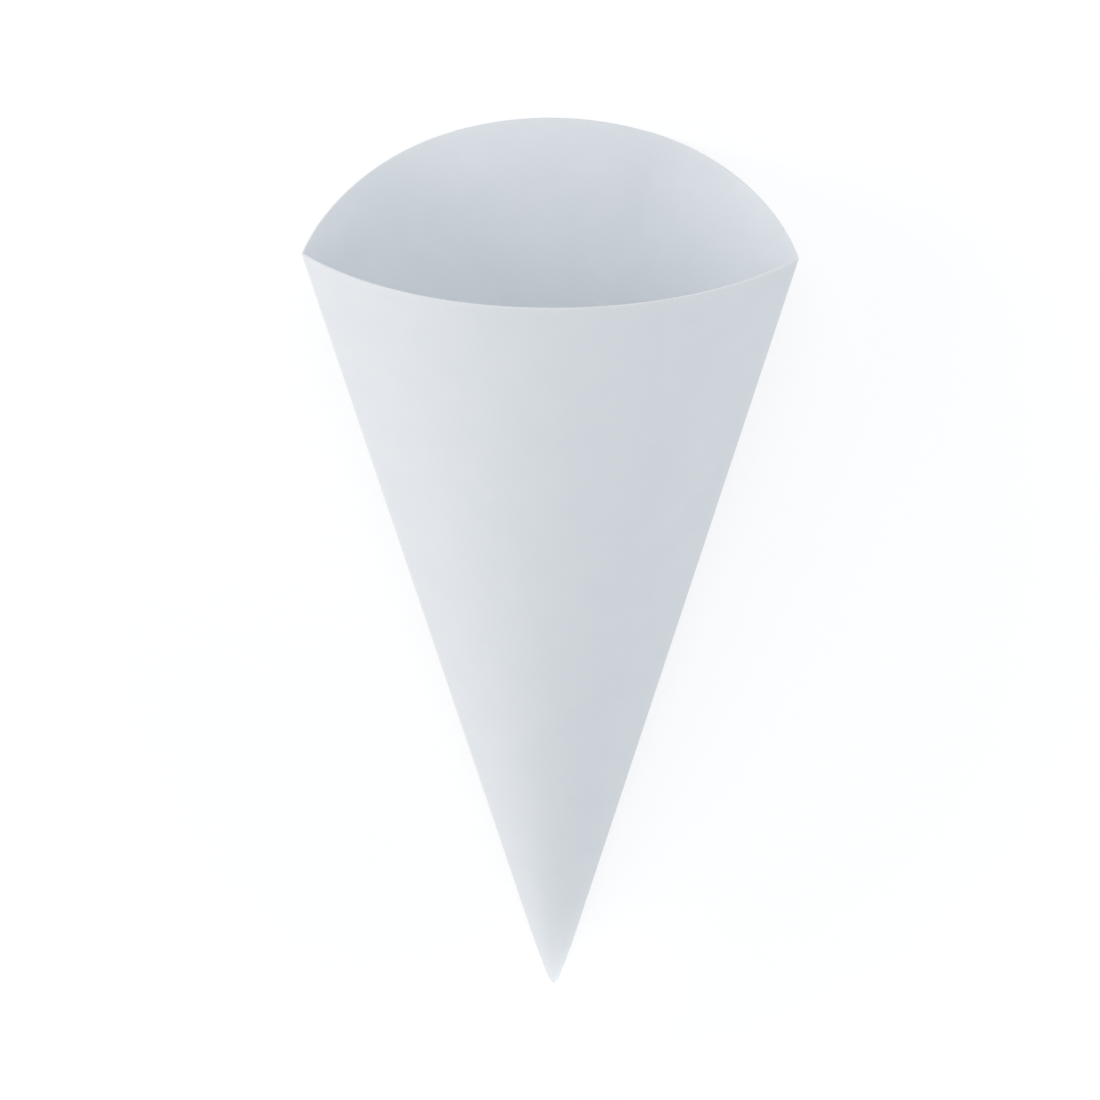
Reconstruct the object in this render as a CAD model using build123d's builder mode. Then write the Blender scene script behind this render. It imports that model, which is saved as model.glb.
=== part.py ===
"""Folded paper food cone: one die-cut sheet of paperboard, creased twice and glued down its back.

The cone lies on its glued back panel, with Z = 0 on the resting face, X across the mouth and
the tip towards -Y. The origin is the middle of the footprint. The straight lines of every
panel run to the fold point, where the two creases would meet just past the cut tip.
"""

import os
from math import acos, atan2, cos, degrees, sin, sqrt, tan

from build123d import *

# sizes in millimetres
board = 0.4  # thickness of the paperboard
crease_reach = 206.0  # fold point to the crease ends, along the resting face
mouth_width = 116.0  # between the two crease ends
crease_height = 22.5  # crease ends above the resting face
front_height = 50.8  # middle of the front panel above the resting face, at the crease ends
lap_width = 42.0  # glued overlap of the two back flaps, level with the crease ends
front_rise = 4.1  # middle of the front edge past the crease ends, on the flat blank
arch_rise = 28.0  # top of the back edge past the crease ends, on the flat blank
tip_cut = 5.0  # fold point to the cut tip
crease_radius = 0.25  # outside of each crease
rim_stations = 12  # points that carry half of each edge from the flat blank to its panel


def angle_between(first: Vector, second: Vector) -> float:
    """Angle between two directions, in radians."""
    return acos(first.normalized().dot(second.normalized()))


def flap_axis(flap_edge: Vector, flap_up: Vector, crease: Vector) -> Vector:
    """Axis of the round cone that leaves the flat lap along its edge and ends on a crease."""
    half_angle = atan2(1 - crease.dot(flap_edge), crease.dot(flap_up))
    return flap_edge * cos(half_angle) + flap_up * sin(half_angle)


def flat_angle(axis: Vector, first: Vector, second: Vector) -> float:
    """Angle between two lines of a round cone once it is unrolled flat, in radians."""
    swing = angle_between(first - axis * axis.dot(first), second - axis * axis.dot(second))
    return swing * sin(angle_between(axis, first))


def cone_line(axis: Vector, line: Vector, turn: float) -> Vector:
    """Line of a round cone that lies a given angle from another on the flat blank."""
    swing = turn / sin(angle_between(axis, line))
    return line.rotate(Axis((0, 0, 0), axis), degrees(swing))


# lines of the folded sheet, as directions from the fold point
up = Vector(0, 0, 1)
crease_end = Vector(mouth_width / 2, crease_reach, crease_height)
crease_length = crease_end.length
right_crease = crease_end.normalized()
lap_edge = Vector(lap_width / 2, crease_reach, 0).normalized()
front_middle = Vector(0, crease_reach, front_height).normalized()

# the front panel is part of the round cone through both creases and its own middle
front_axis_lift = atan2(right_crease.Y - front_middle.Y, front_middle.Z - right_crease.Z)
front_axis = Vector(0, cos(front_axis_lift), sin(front_axis_lift))
right_axis = flap_axis(lap_edge, up, right_crease)

# half of each panel on the flat blank
front_half_angle = flat_angle(front_axis, front_middle, right_crease)
lap_half_angle = angle_between(lap_edge, Vector(0, 1, 0))
back_half_angle = lap_half_angle + flat_angle(right_axis, lap_edge, right_crease)

# the footprint runs from the cut tip to the top of the back edge
arch_reach = crease_length * cos(back_half_angle) + arch_rise
fold_point = Vector(0, -(arch_reach + tip_cut) / 2, 0)
crease_plane = Plane(fold_point, x_dir=(1, 0, 0), z_dir=(0, -crease_height, crease_reach))

# the sheet is folded longer than its cut edges and tip, and the hollow longer still
uncut_start = 0.9 * tip_cut
uncut_reach = 1.2 * arch_reach
hollow_reach = 1.3 * arch_reach

# the left flap lies on the right one, one board higher at the crease ends
left_crease = Vector(-right_crease.X, right_crease.Y, right_crease.Z)
left_lap_edge = Vector(-lap_width / 2, crease_reach, board).normalized()
left_up = (up - left_lap_edge * left_lap_edge.Z).normalized()
left_axis = flap_axis(left_lap_edge, left_up, left_crease)
outer_lap_face = Plane(fold_point)
inner_lap_face = Plane(fold_point + left_up * board, x_dir=left_lap_edge, z_dir=left_up)


def front_line(turn: float) -> Vector:
    """Line of the front panel at an angle from its middle on the flat blank."""
    return cone_line(front_axis, front_middle, turn)


def back_line(turn: float) -> Vector:
    """Line of the back panel at an angle from its middle on the flat blank."""
    if turn <= lap_half_angle:
        return Vector(sin(turn), cos(turn), 0)
    return cone_line(right_axis, lap_edge, lap_half_angle - turn)


def folded_edge(line, half_angle: float, rise: float) -> list[tuple[float, float]]:
    """Points of an edge, a parabola on the flat blank, seen square to the plane of the creases."""
    top = crease_length * cos(half_angle) + rise
    steepness = 4 * rise * top / (crease_length * sin(half_angle)) ** 2
    right_half = []
    for station in range(rim_stations + 1):
        turn = half_angle * station / rim_stations
        reach = 2 * top / (cos(turn) + sqrt(cos(turn) ** 2 + steepness * sin(turn) ** 2))
        point = crease_plane.to_local_coords(fold_point + line(turn) * reach)
        right_half.append((point.X, point.Y))
    left_half = [(-x, y) for x, y in reversed(right_half[1:])]
    return left_half + right_half


def add_cone(axis: Vector, line: Vector, inset: float, reach: float, sweep: float,
             mode: Mode = Mode.ADD) -> None:
    """Round cone about an axis, swept from one of its lines and set in from that line."""
    half_angle = angle_between(axis, line)
    outward = line - axis * axis.dot(line)
    apex = fold_point + axis * (inset / sin(half_angle))
    with BuildSketch(Plane(apex, x_dir=axis, z_dir=axis.cross(outward))) as profile:
        with BuildLine():
            Polyline((uncut_start, 0), (reach, 0), (reach, reach * tan(half_angle)),
                     (uncut_start, uncut_start * tan(half_angle)), close=True)
        make_face()
    revolve(profile.sketch, axis=Axis(apex, axis), revolution_arc=sweep, mode=mode)


def add_panels(lap_face: Plane, inset: float, reach: float) -> None:
    """Solid between the lap, the two curved flaps and the front panel, each set in."""
    half_lap = reach * lap_edge.X / lap_edge.Y
    with BuildSketch(Plane(fold_point)) as lap:
        with BuildLine():
            Polyline((0, 0), (half_lap, reach), (-half_lap, reach), close=True)
        make_face()
    extrude(lap.sketch, amount=reach, both=True)
    split(bisect_by=lap_face, keep=Keep.TOP)
    add_cone(right_axis, lap_edge, inset, reach, -180)
    add_cone(left_axis, left_lap_edge, inset, reach, 180)
    add_cone(front_axis, front_middle, inset, reach, 360, Mode.INTERSECT)


with BuildPart() as hollow:
    add_panels(inner_lap_face, board, hollow_reach)

with BuildPart() as paper_cone:
    add_panels(outer_lap_face, 0, uncut_reach)

    # blunt tip, cut to a square point
    with BuildSketch(crease_plane):
        with BuildLine():
            Polyline((0, tip_cut), (2 * tip_cut, 3 * tip_cut), (2 * tip_cut, -tip_cut),
                     (-2 * tip_cut, -tip_cut), (-2 * tip_cut, 3 * tip_cut), close=True)
        make_face()
    extrude(amount=4 * tip_cut, both=True, mode=Mode.SUBTRACT)

    # rounded creases
    for crease in (left_crease, right_crease):
        middle_of_crease = fold_point + crease * (crease_length / 2)
        fillet(paper_cone.edges().sort_by_distance(middle_of_crease)[0], crease_radius)

    # open inside, from the mouth down to the tip
    add(hollow.part, mode=Mode.SUBTRACT)

    # front edge and arched back edge, cut square to the plane of the creases and meeting behind them
    for line, half_angle, rise, side in ((front_line, front_half_angle, front_rise, 1),
                                         (back_line, back_half_angle, arch_rise, -1)):
        edge = folded_edge(line, half_angle, rise)
        with BuildSketch(crease_plane.offset(-2 * crease_radius)):
            with BuildLine():
                Spline(*edge)
                Polyline(edge[-1], (mouth_width, edge[-1][1]), (mouth_width, 2 * uncut_reach),
                         (-mouth_width, 2 * uncut_reach), (-mouth_width, edge[0][1]), edge[0])
            make_face()
        extrude(amount=side * uncut_reach, mode=Mode.SUBTRACT)

paper_cone.part.label = "paper_cone"

os.makedirs("parts", exist_ok=True)
export_step(paper_cone.part, "parts/paper_cone.step")
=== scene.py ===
"""Looks of the paper food cone: one folded sheet of white paperboard on a pale studio floor.

The sheet is laid out as its flat blank and folded along the same straight lines as the solid that
it stands for. A point of the sheet has a place on the blank, by angle and reach from the fold
point, and a place in the room. Lengths are in metres and angles on the blank in radians.
"""

import logging
from dataclasses import dataclass
from enum import IntEnum
from math import acos, atan2, cos, radians, sin, tan

import bpy
import numpy as np
from mathutils import Matrix, Vector


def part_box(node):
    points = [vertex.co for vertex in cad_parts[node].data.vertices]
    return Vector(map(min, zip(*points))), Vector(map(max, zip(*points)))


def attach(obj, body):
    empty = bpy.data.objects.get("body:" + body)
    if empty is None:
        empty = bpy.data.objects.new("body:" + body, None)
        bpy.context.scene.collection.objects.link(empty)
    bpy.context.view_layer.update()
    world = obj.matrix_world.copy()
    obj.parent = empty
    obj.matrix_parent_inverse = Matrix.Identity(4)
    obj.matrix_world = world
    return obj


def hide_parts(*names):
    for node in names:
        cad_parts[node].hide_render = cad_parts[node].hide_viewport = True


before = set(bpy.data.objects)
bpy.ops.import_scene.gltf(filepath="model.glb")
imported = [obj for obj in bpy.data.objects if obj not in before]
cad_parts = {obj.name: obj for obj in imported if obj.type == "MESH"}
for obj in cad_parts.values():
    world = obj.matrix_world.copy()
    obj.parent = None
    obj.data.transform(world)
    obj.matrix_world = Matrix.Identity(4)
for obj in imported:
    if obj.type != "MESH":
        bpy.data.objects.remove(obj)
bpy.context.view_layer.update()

log = logging.getLogger("paper_cone")

Colour = tuple[float, float, float]
Range = tuple[float, float]

WHITE: Colour = (1.0, 1.0, 1.0)


class BoardFace(IntEnum):
    """Surfaces of the board, by material slot."""

    LINER = 0
    CUT_EDGE = 1


class Half(IntEnum):
    """Halves of the sheet, by the side of the mouth that they fold on."""

    LEFT = -1
    RIGHT = 1


@dataclass
class NodeSketch:
    """Shader nodes of one material or world, added and joined in order.

    Attributes:
        tree: Node tree that is being drawn.
        noise_low: Noise value that counts as low.
        noise_high: Noise value that counts as high.
    """

    tree: bpy.types.NodeTree
    noise_low: float = 0.3
    noise_high: float = 0.7

    @classmethod
    def of(cls, owner: bpy.types.Material | bpy.types.World) -> "NodeSketch":
        """Start an empty sketch on a material or a world.

        Args:
            owner: Material or world that takes the nodes.

        Returns:
            Sketch of the owner's cleared node tree.
        """
        owner.use_nodes = True
        owner.node_tree.nodes.clear()
        return cls(owner.node_tree)

    def add(self, kind: str, settings: dict | None = None, **sockets: object) -> bpy.types.Node:
        """Add a node.

        Args:
            kind: Node type.
            settings: Properties of the node itself.
            sockets: Input values by socket name, with underscores for spaces. An output socket
                is linked, and anything else is set as the input's own value.

        Returns:
            The new node.
        """
        node = self.tree.nodes.new(kind)
        for name, value in (settings or {}).items():
            setattr(node, name, value)
        for name, value in sockets.items():
            self.feed(node.inputs[name.replace("_", " ")], value)
        return node

    def feed(self, socket: bpy.types.NodeSocket, value: object) -> None:
        """Link an input to an output socket, or set its value.

        Args:
            socket: Input socket.
            value: Output socket, number, colour or vector.
        """
        if isinstance(value, bpy.types.NodeSocket):
            self.tree.links.new(value, socket)
        elif isinstance(value, tuple) and socket.type == "RGBA":
            socket.default_value = (*value, 1.0)
        else:
            socket.default_value = value

    def noise(self, place: bpy.types.NodeSocket, cell: float, detail: float) -> bpy.types.NodeSocket:
        """Noise with cells of a real size.

        Args:
            place: Coordinates in metres.
            cell: Size of one cell, in metres.
            detail: Octaves of finer noise.

        Returns:
            Noise from 0 to 1.
        """
        node = self.add("ShaderNodeTexNoise", Vector=place, Scale=1 / cell, Detail=detail)
        return node.outputs["Fac"]

    def attribute(self, name: str, output: str) -> bpy.types.NodeSocket:
        """One output of an attribute that the mesh carries."""
        return self.add("ShaderNodeAttribute", {"attribute_name": name}).outputs[output]

    def span(self, value: bpy.types.NodeSocket, ends: Range) -> bpy.types.NodeSocket:
        """Noise spread over a range of values.

        Args:
            value: Noise from 0 to 1.
            ends: Results where the noise is low and where it is high.

        Returns:
            Spread value.
        """
        node = self.add("ShaderNodeMapRange", Value=value, From_Min=self.noise_low,
                        From_Max=self.noise_high, To_Min=ends[0], To_Max=ends[1])
        return node.outputs["Result"]

    def math(self, operation: str, first: object, second: object) -> bpy.types.NodeSocket:
        """Sum, product or other operation on two values.

        Args:
            operation: Name of the math operation.
            first: First number or socket.
            second: Second number or socket.

        Returns:
            Result of the operation.
        """
        node = self.add("ShaderNodeMath", {"operation": operation})
        self.feed(node.inputs[0], first)
        self.feed(node.inputs[1], second)
        return node.outputs["Value"]

    def blend(self, share: object, first: object, second: object) -> bpy.types.NodeSocket:
        """Blend of two colours.

        Args:
            share: How much of the second colour shows, from 0 to 1.
            first: Colour or socket.
            second: Colour or socket.

        Returns:
            Blended colour.
        """
        node = self.add("ShaderNodeMix", {"data_type": "RGBA"})
        ends = {s.identifier: s for s in node.inputs}
        self.feed(ends["Factor_Float"], share)
        self.feed(ends["A_Color"], first)
        self.feed(ends["B_Color"], second)
        return next(s for s in node.outputs if s.identifier == "Result_Color")

    def looked_at(self) -> bpy.types.NodeSocket:
        """One for what is seen straight, in a gloss or through glass, and zero for other light.

        Returns:
            Value for the ray that is being traced.
        """
        path = self.add("ShaderNodeLightPath")
        shown = self.math("MAXIMUM", path.outputs["Is Glossy Ray"], path.outputs["Is Transmission Ray"])
        return self.math("MAXIMUM", path.outputs["Is Camera Ray"], shown)

    def mix(self, share: bpy.types.NodeSocket, first: bpy.types.NodeSocket,
            second: bpy.types.NodeSocket) -> bpy.types.NodeSocket:
        """Mix of two shaders.

        Args:
            share: How much of the second shader shows, from 0 to 1.
            first: Shader.
            second: Shader.

        Returns:
            Mixed shader.
        """
        node = self.add("ShaderNodeMixShader", Fac=share)
        self.feed(node.inputs[1], first)
        self.feed(node.inputs[2], second)
        return node.outputs["Shader"]

    def board(self, colour: bpy.types.NodeSocket, roughness: bpy.types.NodeSocket, specular: float,
              bump: bpy.types.Node) -> None:
        """Finish a material as matt board.

        Args:
            colour: Colour of the surface.
            roughness: Roughness of the surface.
            specular: Level of its gloss.
            bump: Node that gives its relief.
        """
        surface = self.add("ShaderNodeBsdfPrincipled", Base_Color=colour, Roughness=roughness,
                           Specular_IOR_Level=specular, Normal=bump.outputs["Normal"])
        self.add("ShaderNodeOutputMaterial", Surface=surface.outputs["BSDF"])


@dataclass(frozen=True)
class LinerFinish:
    """Smooth white liner of the board, with fine fibres that run up the blank.

    Attributes:
        white: Clean liner.
        shade: Liner where the stock is thinner or cloudier.
        fibre: Single darker fibres.
        worn: Core fibres that show where creases and edges are rubbed.
        cloud_size: Size of the clouds in the stock.
        cloud_detail: Octaves of finer clouds.
        cloud_share: How much of the shade the clouds bring.
        fibre_length: Length of a fibre, up the blank.
        fibre_width: Width of a fibre.
        fibre_detail: Octaves of finer fibres.
        fibre_share: How much of their colour the fibres bring.
        grain_size: Size of the surface grain.
        grain_detail: Octaves of finer grain.
        rubbed: How much a crease or an edge is worn, where the grain is low and where it is high.
        relief: Height of the fibres and the grain together.
        fibre_relief: Share of that height that the fibres have.
        bump: Strength of the relief.
        roughness: Roughness between the fibres and on them.
        specular: Level of the gloss.
    """

    white: Colour = (0.844, 0.876, 0.897)
    shade: Colour = (0.812, 0.850, 0.878)
    fibre: Colour = (0.780, 0.812, 0.838)
    worn: Colour = (0.890, 0.900, 0.902)
    cloud_size: float = 0.011
    cloud_detail: float = 4.0
    cloud_share: Range = (0.0, 0.7)
    fibre_length: float = 0.0024
    fibre_width: float = 0.00028
    fibre_detail: float = 2.0
    fibre_share: Range = (0.0, 0.16)
    grain_size: float = 0.00045
    grain_detail: float = 3.0
    rubbed: Range = (0.1, 0.6)
    relief: float = 0.000025
    fibre_relief: float = 0.6
    bump: float = 0.6
    roughness: Range = (0.56, 0.68)
    specular: float = 0.32

    def material(self) -> bpy.types.Material:
        """Make the liner's material.

        Returns:
            Material that reads the sheet's blank, crease and edge attributes.
        """
        made = bpy.data.materials.new("white_liner")
        sketch = NodeSketch.of(made)
        blank = sketch.attribute("blank", "Vector")
        crease = sketch.attribute("crease", "Fac")
        edge = sketch.attribute("edge", "Fac")
        cloud = sketch.noise(blank, self.cloud_size, self.cloud_detail)
        drawn = sketch.add("ShaderNodeMapping", {"vector_type": "POINT"}, Vector=blank,
                           Scale=(1.0, self.fibre_width / self.fibre_length, 1.0))
        fibres = sketch.noise(drawn.outputs["Vector"], self.fibre_width, self.fibre_detail)
        grain = sketch.noise(blank, self.grain_size, self.grain_detail)
        clouded = sketch.blend(sketch.span(cloud, self.cloud_share), self.white, self.shade)
        fibred = sketch.blend(sketch.span(fibres, self.fibre_share), clouded, self.fibre)
        wear = sketch.math("MULTIPLY", sketch.math("MAXIMUM", crease, edge),
                           sketch.span(grain, self.rubbed))
        coated = sketch.blend(wear, fibred, self.worn)
        height = sketch.math("ADD", sketch.math("MULTIPLY", fibres, self.fibre_relief),
                             sketch.math("MULTIPLY", grain, 1 - self.fibre_relief))
        bump = sketch.add("ShaderNodeBump", Strength=self.bump, Distance=self.relief, Height=height)
        sketch.board(coated, sketch.span(fibres, self.roughness), self.specular, bump)
        return made


@dataclass(frozen=True)
class CutEdgeFinish:
    """Raw die-cut edge of the board, where the core fibres show.

    Attributes:
        core: Uncoated core.
        loose: Fibres that the die has pulled loose.
        loose_share: How much of their colour the loose fibres bring.
        fibre_size: Size of the fibres in the core.
        fibre_detail: Octaves of finer fibres.
        relief: Height of the fibres.
        bump: Strength of the relief.
        roughness: Roughness between the fibres and on them.
        specular: Level of the gloss.
    """

    core: Colour = (0.825, 0.840, 0.850)
    loose: Colour = (0.725, 0.745, 0.762)
    loose_share: Range = (0.0, 0.5)
    fibre_size: float = 0.00016
    fibre_detail: float = 3.0
    relief: float = 0.00004
    bump: float = 0.5
    roughness: Range = (0.78, 0.92)
    specular: float = 0.2

    def material(self) -> bpy.types.Material:
        """Make the cut edge's material.

        Returns:
            Rough, matt material of core fibres.
        """
        made = bpy.data.materials.new("cut_edge")
        sketch = NodeSketch.of(made)
        fibres = sketch.noise(sketch.attribute("blank", "Vector"), self.fibre_size, self.fibre_detail)
        core = sketch.blend(sketch.span(fibres, self.loose_share), self.core, self.loose)
        bump = sketch.add("ShaderNodeBump", Strength=self.bump, Distance=self.relief, Height=fibres)
        sketch.board(core, sketch.span(fibres, self.roughness), self.specular, bump)
        return made


def unit(vector: np.ndarray) -> np.ndarray:
    """Vectors of length one."""
    return vector / np.linalg.norm(vector, axis=-1, keepdims=True)


def eased(share: np.ndarray) -> np.ndarray:
    """Smooth step from 0 to 1."""
    held = np.clip(share, 0, 1)
    return held * held * (3 - 2 * held)


@dataclass(frozen=True)
class ConePanel:
    """Part of a round cone about the fold point, followed by the angle on the flat blank.

    Attributes:
        axis: Direction of the cone's axis.
        start: Line of the cone that angles are counted from.
        side: Which way round the axis the panel runs.
    """

    axis: np.ndarray
    start: np.ndarray
    side: Half

    @property
    def half_angle(self) -> float:
        """Angle between the axis and the cone's lines."""
        return acos(self.axis @ self.start)

    def lines(self, turns: np.ndarray) -> np.ndarray:
        """Lines of the panel.

        Args:
            turns: Angles from the start line on the flat blank.

        Returns:
            Directions from the fold point, one for each angle.
        """
        swing = (self.side * turns / sin(self.half_angle))[..., None]
        along = self.axis * (self.axis @ self.start)
        across = np.cross(self.axis, self.start)
        return along + np.cos(swing) * (self.start - along) + np.sin(swing) * across

    def normals(self, lines: np.ndarray) -> np.ndarray:
        """Directions square to the panel at its lines, away from the axis."""
        return (lines * cos(self.half_angle) - self.axis) / sin(self.half_angle)

    def unrolled(self, line: np.ndarray) -> float:
        """Angle from the start line to another line, on the flat blank.

        Args:
            line: Line of the same cone.

        Returns:
            Angle on the blank.
        """
        first = unit(self.start - self.axis * (self.axis @ self.start))
        second = unit(line - self.axis * (self.axis @ line))
        return acos(first @ second) * sin(self.half_angle)


@dataclass(frozen=True)
class DieLine:
    """Cut edge of the blank, a parabola between two lines of one length.

    Attributes:
        line_length: Length of the lines at its ends.
        half_angle: Half of the angle between them.
        rise: Middle of the edge past the chord between its ends.
    """

    line_length: float
    half_angle: float
    rise: float

    @property
    def top(self) -> float:
        """Reach of the middle of the edge."""
        return self.line_length * cos(self.half_angle) + self.rise

    def reach(self, turns: np.ndarray) -> np.ndarray:
        """Reach of the edge from the fold point.

        Args:
            turns: Angles from the middle of the edge.

        Returns:
            Distance from the fold point to the edge at each angle.
        """
        steepness = 4 * self.rise * self.top / (self.line_length * sin(self.half_angle)) ** 2
        root = np.sqrt(np.cos(turns) ** 2 + steepness * np.sin(turns) ** 2)
        return 2 * self.top / (np.cos(turns) + root)


@dataclass
class FoldedSheet:
    """The whole cone: one sheet, creased twice, lapped and glued down its back.

    Attributes:
        board: Thickness of the paperboard.
        crease_reach: Fold point to the crease ends, along the resting face.
        mouth_width: Between the two crease ends.
        crease_height: Crease ends above the resting face.
        front_height: Middle of the front panel above the resting face, at the crease ends.
        lap_width: Glued overlap of the two back flaps, level with the crease ends.
        front_rise: Middle of the front edge past the crease ends, on the flat blank.
        arch_rise: Top of the back edge past the crease ends, on the flat blank.
        tip_cut: Fold point to the cut tip.
        glue_line: Gap that the glue keeps between the flaps.
        lap_ramp: Reach over which the inner flap climbs onto the outer one.
        skive_width: Strip along the inner flap's free edge that is thinned before gluing.
        skive_edge: Thickness left at that edge.
        pinch_reach: Fold point to where the pinched end of the tip begins.
        pinch: Share of its width that the tip loses at the cut.
        wear_width: Width of the worn strip along creases and cut edges.
        mitre_margin: Width of a crease's round over that of the mitre of the inner faces.
        inside_shift: Shift off the blank that gives the inside fibres of its own.
        sharp_angle: Degrees between two faces from which their edge is drawn sharp.
        front_columns: Strips in each half of the front panel.
        crease_columns: Strips across the round of a crease.
        flap_columns: Strips in the curved part of each flap.
        lap_columns: Strips in the flat part of each flap.
        rows: Strips from the tip to the mouth.
    """

    board: float = 0.0004
    crease_reach: float = 0.206
    mouth_width: float = 0.116
    crease_height: float = 0.0225
    front_height: float = 0.0508
    lap_width: float = 0.042
    front_rise: float = 0.0041
    arch_rise: float = 0.0280
    tip_cut: float = 0.0050
    glue_line: float = 0.00001
    lap_ramp: float = 0.016
    skive_width: float = 0.011
    skive_edge: float = 0.00002
    pinch_reach: float = 0.022
    pinch: float = 0.26
    wear_width: float = 0.0009
    mitre_margin: float = 1.1
    inside_shift: float = 1.0
    sharp_angle: float = 35.0
    front_columns: int = 56
    crease_columns: int = 8
    flap_columns: int = 52
    lap_columns: int = 36
    rows: int = 110

    def __post_init__(self) -> None:
        """Work out the lines, panels and edges of the fold from the sizes."""
        crease_end = np.array((self.mouth_width / 2, self.crease_reach, self.crease_height))
        self.crease = unit(crease_end)
        front_middle = unit(np.array((0.0, self.crease_reach, self.front_height)))
        lap_edge = unit(np.array((self.lap_width / 2, self.crease_reach, 0.0)))
        lift = atan2(self.crease[1] - front_middle[1], front_middle[2] - self.crease[2])
        self.front = ConePanel(np.array((0.0, cos(lift), sin(lift))), front_middle, Half.RIGHT)
        half = atan2(1 - self.crease @ lap_edge, self.crease[2])
        flap_axis = lap_edge * cos(half) + np.array((0.0, 0.0, sin(half)))
        self.flap = ConePanel(flap_axis, lap_edge, Half.LEFT)
        self.front_angle = self.front.unrolled(self.crease)
        self.lap_angle = acos(lap_edge[1])
        self.back_angle = self.lap_angle + self.flap.unrolled(self.crease)
        self.crease_length = float(np.linalg.norm(crease_end))
        self.front_edge = DieLine(self.crease_length, self.front_angle, self.front_rise)
        self.back_edge = DieLine(self.crease_length, self.back_angle, self.arch_rise)
        self.level = unit(np.array((0.0, self.crease_reach, self.crease_height)))

    @property
    def crease_round(self) -> float:
        """Width of the round on each side of a crease, just past the mitre of the inner faces."""
        front_normal = self.front.normals(self.crease)
        flap_normal = self.flap.normals(self.crease)
        return self.mitre_margin * self.board * tan(acos(front_normal @ flap_normal) / 2)

    def back_lines(self, turns: np.ndarray) -> np.ndarray:
        """Lines of a flap: flat across the lap, round from its edge to the crease.

        Args:
            turns: Angles from the middle of the back, towards the flap's own crease.

        Returns:
            Directions from the fold point.
        """
        flat = np.stack((np.sin(turns), np.cos(turns), np.zeros_like(turns)), -1)
        curved = self.flap.lines(np.maximum(turns - self.lap_angle, 0))
        return np.where((turns <= self.lap_angle)[..., None], flat, curved)

    def back_normals(self, turns: np.ndarray, lines: np.ndarray) -> np.ndarray:
        """Directions square to a flap, away from the inside of the cone.

        Args:
            turns: Angles from the middle of the back.
            lines: Lines of the flap at those angles.

        Returns:
            Outward directions.
        """
        down = np.broadcast_to(np.array((0.0, 0.0, -1.0)), lines.shape)
        return np.where((turns <= self.lap_angle)[..., None], down, self.flap.normals(lines))

    def half_grid(self) -> dict[str, np.ndarray]:
        """Lay out the right half of the sheet, from the middle of the front to the free edge.

        Returns:
            Rows by columns of the blank angle, reach, line, outward direction, wear at creases
            and cut edges, share of the climb onto the other flap and gap to the free edge.
        """
        crease_start = self.tip_start(self.crease)
        share = np.linspace(0, 1, self.rows + 1)[:, None]
        spread = self.crease_round / (crease_start + share * (self.crease_length - crease_start))
        full = self.front_angle + self.back_angle + self.lap_angle
        curve_end = self.front_angle + self.back_angle - self.lap_angle
        front = np.linspace(0, 1, self.front_columns + 1)[None] * (self.front_angle - spread)
        bend = np.linspace(0, 1, self.crease_columns + 1)[None, 1:-1] * np.ones_like(share)
        curve_start = self.front_angle + spread
        curve = curve_start + np.linspace(0, 1, self.flap_columns + 1)[None] * (curve_end - curve_start)
        lap = np.linspace(curve_end, full, self.lap_columns + 1)[None, 1:] * np.ones_like(share)
        back = np.concatenate((curve, lap), 1)
        turns = self.front_angle + self.back_angle - back

        front_lines = self.front.lines(front)
        back_lines = self.back_lines(turns)
        front_out = self.front.normals(front_lines)
        back_out = self.back_normals(turns, back_lines)
        before, after = front_lines[:, -1:], back_lines[:, :1]
        part = bend[..., None]
        bend_lines = (1 - part) ** 2 * before + 2 * part * (1 - part) * self.crease + part**2 * after
        bend_out = unit((1 - part) * front_out[:, -1:] + part * back_out[:, :1])
        bend_angle = self.front_angle + (2 * bend - 1) * spread

        angle = np.concatenate((front, bend_angle, back), 1)
        end = np.where(angle <= self.front_angle, self.front_edge.reach(angle),
                       self.back_edge.reach(self.front_angle + self.back_angle - angle))
        line = np.concatenate((front_lines, bend_lines, back_lines), 1)
        start = self.tip_start(line)
        reach = start + share * (end - start)
        fold_gap = np.abs(angle - self.front_angle) * reach
        climb = eased((angle - self.front_angle) / (curve_end - self.front_angle))
        return {
            "angle": angle,
            "reach": reach,
            "line": line,
            "out": np.concatenate((front_out, bend_out, back_out), 1),
            "crease": np.exp(-((fold_gap / self.wear_width) ** 2)),
            "edge": np.exp(-(end - reach) / self.wear_width),
            "climb": climb,
            "free_gap": (full - angle) * reach,
        }

    def tip_start(self, line: np.ndarray) -> np.ndarray:
        """Reach of the cut tip, a square point seen from the front.

        Args:
            line: Lines of the sheet.

        Returns:
            Distance from the fold point to the cut on each line.
        """
        return self.tip_cut / (line @ self.level - np.abs(line[..., 0]))

    def pinched(self, reach: np.ndarray) -> np.ndarray:
        """Share of its width that the cone keeps where the creases were pinched together.

        Args:
            reach: Distances from the fold point.

        Returns:
            Factor for the width at each place.
        """
        share = np.clip((self.pinch_reach - reach) / (self.pinch_reach - self.tip_cut), 0, 1)
        return 1 - self.pinch * share**3

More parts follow.
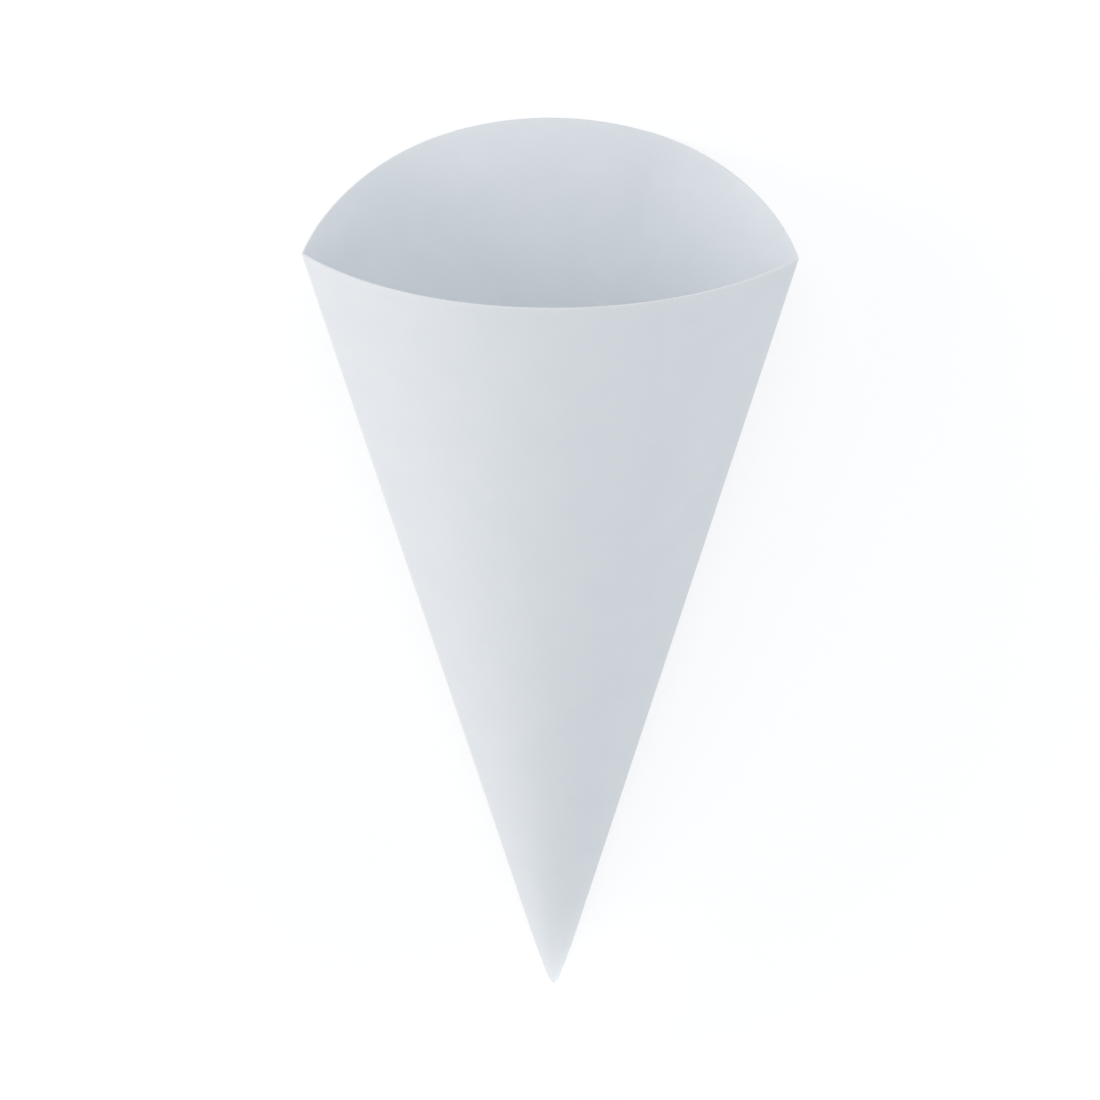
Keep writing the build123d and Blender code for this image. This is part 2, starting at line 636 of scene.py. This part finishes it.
    def grid(self) -> dict[str, np.ndarray]:
        """Lay out the whole sheet, from the inner flap's free edge to the outer flap's.

        Returns:
            As for one half, with places on the blank and in the room.
        """
        right = self.half_grid()
        mirror = np.array((-1.0, 1.0, 1.0))
        left = {name: values[:, :0:-1] for name, values in right.items()}
        left["angle"] = -left["angle"]
        left["line"] = left["line"] * mirror
        left["out"] = left["out"] * mirror
        right["climb"] = np.zeros_like(right["climb"])
        right["free_gap"] = np.full_like(right["free_gap"], self.skive_width)
        whole = {name: np.concatenate((left[name], right[name]), 1) for name in right}
        reach = whole["reach"]
        climb = (self.board + self.glue_line) * whole["climb"] * eased(reach / self.lap_ramp)
        up = np.array((0.0, 0.0, 1.0))
        whole["outside"] = whole["line"] * reach[..., None] + climb[..., None] * up
        thinned = eased(whole["free_gap"] / self.skive_width)
        thickness = self.skive_edge + (self.board - self.skive_edge) * thinned
        whole["inside"] = whole["outside"] - whole["out"] * thickness[..., None]
        for side in ("outside", "inside"):
            whole[side][..., 0] *= self.pinched(reach)
        whole["blank"] = np.stack((reach * np.sin(whole["angle"]), reach * np.cos(whole["angle"]),
                                   np.zeros_like(reach)), -1)
        return whole

    def fold_point(self, high: Vector) -> np.ndarray:
        """Point that the lines of the sheet run to, for a given highest corner of the solid."""
        return np.array((0.0, high.y - self.back_edge.top, 0.0))

    def build(self, high: Vector) -> bpy.types.Object:
        """Fold the sheet into a closed mesh.

        Args:
            high: Highest corner of the solid that the sheet stands for.

        Returns:
            Mesh object of the sheet, with its blank, crease and edge attributes.
        """
        grid = self.grid()
        rows, columns = grid["reach"].shape
        count = rows * columns
        index = np.arange(count).reshape(rows, columns)
        outer = self.quads(index)
        inner = self.quads(index + count)[:, ::-1]
        loop = np.concatenate((index[0, :-1], index[:-1, -1], index[-1, :0:-1], index[:0:-1, 0]))
        after = np.roll(loop, -1)
        cut = np.stack((after, loop, loop + count, after + count), -1)
        faces = np.concatenate((outer, inner, cut))
        points = np.concatenate((grid["outside"].reshape(-1, 3), grid["inside"].reshape(-1, 3)))

        mesh = bpy.data.meshes.new("folded_sheet")
        mesh.from_pydata((points + self.fold_point(high)).tolist(), [], faces.tolist())
        slots = np.full(len(faces), BoardFace.LINER)
        slots[len(outer) + len(inner):] = BoardFace.CUT_EDGE
        mesh.polygons.foreach_set("material_index", slots.astype(np.int32))
        self.mark(mesh, grid)
        mesh.shade_smooth()
        mesh.set_sharp_from_angle(angle=radians(self.sharp_angle))
        made = bpy.data.objects.new("folded_sheet", mesh)
        bpy.context.scene.collection.objects.link(made)
        return made

    def quads(self, index: np.ndarray) -> np.ndarray:
        """Faces between neighbouring rows and columns.

        Args:
            index: Vertex numbers by row and column.

        Returns:
            Four vertex numbers for each face, outward side first.
        """
        corners = (index[:-1, :-1], index[:-1, 1:], index[1:, 1:], index[1:, :-1])
        return np.stack([corner.ravel() for corner in corners], -1)

    def mark(self, mesh: bpy.types.Mesh, grid: dict[str, np.ndarray]) -> None:
        """Give every point its place on the blank and its wear.

        Args:
            mesh: Mesh of the sheet, outside first and inside after.
            grid: Layout of the whole sheet.
        """
        blank = grid["blank"].reshape(-1, 3)
        inner_side = blank + np.array((0.0, 0.0, self.inside_shift))
        place = mesh.attributes.new("blank", "FLOAT_VECTOR", "POINT")
        place.data.foreach_set("vector", np.concatenate((blank, inner_side)).ravel())
        for name in ("crease", "edge"):
            values = np.tile(grid[name].ravel(), 2)
            mesh.attributes.new(name, "FLOAT", "POINT").data.foreach_set("value", values)

    def dress(self, made: bpy.types.Object, liner: LinerFinish, cut_edge: CutEdgeFinish) -> None:
        """Give the sheet its finishes, in the order of the board's faces.

        Args:
            made: Mesh object of the sheet.
            liner: Finish of both smooth faces.
            cut_edge: Finish of the die-cut edges.
        """
        made.data.materials.append(liner.material())
        made.data.materials.append(cut_edge.material())


@dataclass
class StudioFloor:
    """Pale floor that shows white and keeps the soft shadow under the cone.

    Attributes:
        half_width: Middle of the floor to its sides.
        drop: Floor below the resting face, so that the two never share a plane.
        pale: Colour that the floor gives back to the cone.
        white: Strength of the white that the camera sees, before the shadow.
        shadow: Share of the floor's own shading that the camera sees beside the cone.
        shadow_start: Middle of the floor to where that share begins to fade.
        shadow_end: Middle of the floor to where only white is left.
    """

    half_width: float = 4.0
    drop: float = 0.0001
    pale: Colour = (0.88, 0.885, 0.89)
    white: float = 1.15
    shadow: float = 0.36
    shadow_start: float = 0.10
    shadow_end: float = 0.32

    def build(self) -> bpy.types.Object:
        """Lay the floor.

        Returns:
            Mesh object of the floor.
        """
        mesh = bpy.data.meshes.new("studio_floor")
        side = self.half_width
        corners = [(-side, -side, -self.drop), (side, -side, -self.drop),
                   (side, side, -self.drop), (-side, side, -self.drop)]
        mesh.from_pydata(corners, [], [(0, 1, 2, 3)])
        mesh.materials.append(self.material())
        floor = bpy.data.objects.new("studio_floor", mesh)
        bpy.context.scene.collection.objects.link(floor)
        return floor

    def material(self) -> bpy.types.Material:
        """Make the floor's material.

        Returns:
            Matt pale material, lifted to white where it is looked at.
        """
        made = bpy.data.materials.new("floor_paper")
        sketch = NodeSketch.of(made)
        matt = sketch.add("ShaderNodeBsdfDiffuse", Color=self.pale)
        white = sketch.add("ShaderNodeEmission", Color=WHITE, Strength=self.white)
        place = sketch.add("ShaderNodeNewGeometry").outputs["Position"]
        middle_gap = sketch.add("ShaderNodeVectorMath", {"operation": "LENGTH"})
        sketch.feed(middle_gap.inputs[0], place)
        lifted = sketch.add("ShaderNodeMapRange", {"interpolation_type": "SMOOTHSTEP"},
                            Value=middle_gap.outputs["Value"],
                            From_Min=self.shadow_start, From_Max=self.shadow_end,
                            To_Min=1 - self.shadow, To_Max=1.0)
        share = sketch.math("MULTIPLY", sketch.looked_at(), lifted.outputs["Result"])
        mixed = sketch.mix(share, matt.outputs["BSDF"], white.outputs["Emission"])
        sketch.add("ShaderNodeOutputMaterial", Surface=mixed)
        return made


@dataclass(frozen=True)
class SoftBox:
    """Square area lamp, turned to the cone.

    Attributes:
        name: Name of the lamp.
        azimuth: Degrees from +X towards +Y.
        elevation: Degrees above the floor.
        distance: Lamp to the point that it faces.
        size: Side of the lamp.
        power: Power in watts.
        colour: Colour of its light.
    """

    name: str
    azimuth: float
    elevation: float
    distance: float
    size: float
    power: float
    colour: Colour

    def build(self, aim: Vector) -> bpy.types.Object:
        """Hang the lamp.

        Args:
            aim: Point that the lamp faces.

        Returns:
            Lamp object.
        """
        lamp = bpy.data.lights.new(self.name, "AREA")
        lamp.size = self.size
        lamp.energy = self.power
        lamp.color = self.colour
        turn, lift = radians(self.azimuth), radians(self.elevation)
        away = Vector((cos(turn) * cos(lift), sin(turn) * cos(lift), sin(lift)))
        hung = bpy.data.objects.new(self.name, lamp)
        hung.location = aim + away * self.distance
        hung.rotation_euler = away.to_track_quat("Z", "Y").to_euler()
        bpy.context.scene.collection.objects.link(hung)
        return hung


@dataclass
class StudioLight:
    """Soft key from the left, weaker lamps from other sides, and an even surround.

    Attributes:
        key: Main soft box.
        fill: Weaker soft box on the other side.
        mouth: Soft box past the mouth, which lights the inside.
        card: Small lit card beside the tip.
        surround: Colour of the even light from all round.
        surround_strength: Strength of that light.
    """

    key: SoftBox = SoftBox("key_lamp", azimuth=180.0, elevation=15.0, distance=1.5, size=1.1,
                           power=9.5, colour=(1.0, 0.943, 0.901))
    fill: SoftBox = SoftBox("fill_lamp", azimuth=0.0, elevation=6.0, distance=1.5, size=0.3,
                            power=3.1, colour=(0.97, 1.0, 0.985))
    mouth: SoftBox = SoftBox("mouth_lamp", azimuth=90.0, elevation=40.0, distance=1.5, size=1.1,
                             power=7.3, colour=(0.976, 0.971, 1.0))
    card: SoftBox = SoftBox("tip_card", azimuth=302.0, elevation=40.0, distance=0.022, size=0.012,
                            power=0.0017, colour=(1.0, 0.96, 0.92))
    surround: Colour = (0.965, 1.0, 1.04)
    surround_strength: float = 0.55

    def build(self, aim: Vector, tip: Vector) -> None:
        """Hang the lamps and light the surround.

        Args:
            aim: Point that the soft boxes face.
            tip: Tip of the cone, which the card faces.
        """
        for lamp in (self.key, self.fill, self.mouth):
            lamp.build(aim)
        self.card.build(tip)
        world = bpy.data.worlds.new("studio_surround")
        sketch = NodeSketch.of(world)
        even = sketch.add("ShaderNodeBackground", Color=self.surround,
                          Strength=self.surround_strength)
        white = sketch.add("ShaderNodeBackground", Color=WHITE, Strength=1.0)
        mixed = sketch.mix(sketch.looked_at(), even.outputs["Background"],
                           white.outputs["Background"])
        sketch.add("ShaderNodeOutputWorld", Surface=mixed)
        bpy.context.scene.world = world


@dataclass
class PhotoCamera:
    """Camera that looks down on the lying cone as the photograph looks at it.

    Attributes:
        tilt: Degrees from straight above, towards the mouth.
        azimuth: Degrees towards +X.
        roll: Degrees that the picture is turned.
        distance: Camera to the point that it aims at.
        focal: Focal length in pixels of the frame.
        frame_width: Width of the frame in pixels.
        aim: Middle of the frame, from the fold point.
    """

    tilt: float = 22.35
    azimuth: float = 1.85
    roll: float = 0.68
    distance: float = 1.150
    focal: float = 4830.5
    frame_width: float = 1100.0
    aim: tuple[float, float, float] = (0.00004, 0.13309, 0.025)

    def build(self, fold_point: Vector) -> bpy.types.Object:
        """Place the camera and make it the scene's own.

        Args:
            fold_point: Point that the cone's lines run to.

        Returns:
            Camera object.
        """
        tilt, azimuth, roll = radians(self.tilt), radians(self.azimuth), radians(self.roll)
        back = Vector((sin(azimuth), cos(azimuth) * sin(tilt), cos(azimuth) * cos(tilt)))
        level_up = Vector((0.0, cos(tilt), -sin(tilt)))
        level_up = (level_up - back * level_up.dot(back)).normalized()
        level_right = level_up.cross(back)
        right = level_right * cos(roll) + level_up * sin(roll)
        up = level_up * cos(roll) - level_right * sin(roll)
        lens = bpy.data.cameras.new("photo_camera")
        lens.lens = self.focal / self.frame_width * lens.sensor_width
        camera = bpy.data.objects.new("photo_camera", lens)
        turned = Matrix((right, up, back)).transposed().to_4x4()
        turned.translation = fold_point + Vector(self.aim) + back * self.distance
        camera.matrix_world = turned
        bpy.context.scene.collection.objects.link(camera)
        bpy.context.scene.camera = camera
        return camera


def main() -> None:
    """Build the folded sheet, the floor, the lamps and the camera."""
    logging.basicConfig(level=logging.INFO, format="%(name)s: %(message)s")
    bpy.context.scene.view_settings.view_transform = "Standard"
    low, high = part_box("paper_cone")
    sheet = FoldedSheet()
    folded = sheet.build(high)
    sheet.dress(folded, LinerFinish(), CutEdgeFinish())
    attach(folded, "root")
    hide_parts("paper_cone")
    log.info("%s: %d faces", folded.name, len(folded.data.polygons))

    floor = StudioFloor().build()
    log.info("%s laid", floor.name)
    StudioLight().build((low + high) / 2, Vector((0.0, low.y, 0.0)))
    log.info("lamps hung")
    camera = PhotoCamera().build(Vector(sheet.fold_point(high)))
    log.info("%s with a %.1f mm lens", camera.name, camera.data.lens)


if __name__ == "__main__":
    main()
